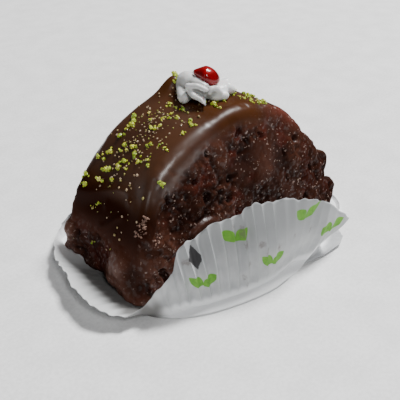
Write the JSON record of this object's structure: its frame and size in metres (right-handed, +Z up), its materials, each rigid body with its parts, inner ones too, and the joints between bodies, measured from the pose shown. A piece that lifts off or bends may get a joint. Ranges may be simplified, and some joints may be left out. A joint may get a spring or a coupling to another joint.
{
  "type": "glazed sponge cake slice",
  "caption": "Half-round chocolate glazed sponge slice with piped cream, a cherry and pistachio crumbs, in a pleated paper case.",
  "frame": {"origin": "under the middle of the slice, on the underside of the paper case, at the level of the table", "axes": "+X along the slice's cut faces, +Y from the front cut face to the back one, +Z up"},
  "size_m": [0.1256, 0.0807, 0.0643],
  "materials": {
    "cocoa_sponge": "moist cocoa sponge under a thin coat of dark chocolate",
    "dark_glaze": "glossy set chocolate glaze",
    "white_cream": "soft piped cream",
    "candied_red": "wet candied cherry",
    "white_paper": "white greaseproof paper"
  },
  "bodies": {
    "root": {"sponge": "cocoa_sponge", "chocolate_glaze": "dark_glaze", "cream_rosette": "white_cream", "cherry": "candied_red", "paper_case": "white_paper"}
  },
  "joints": []
}
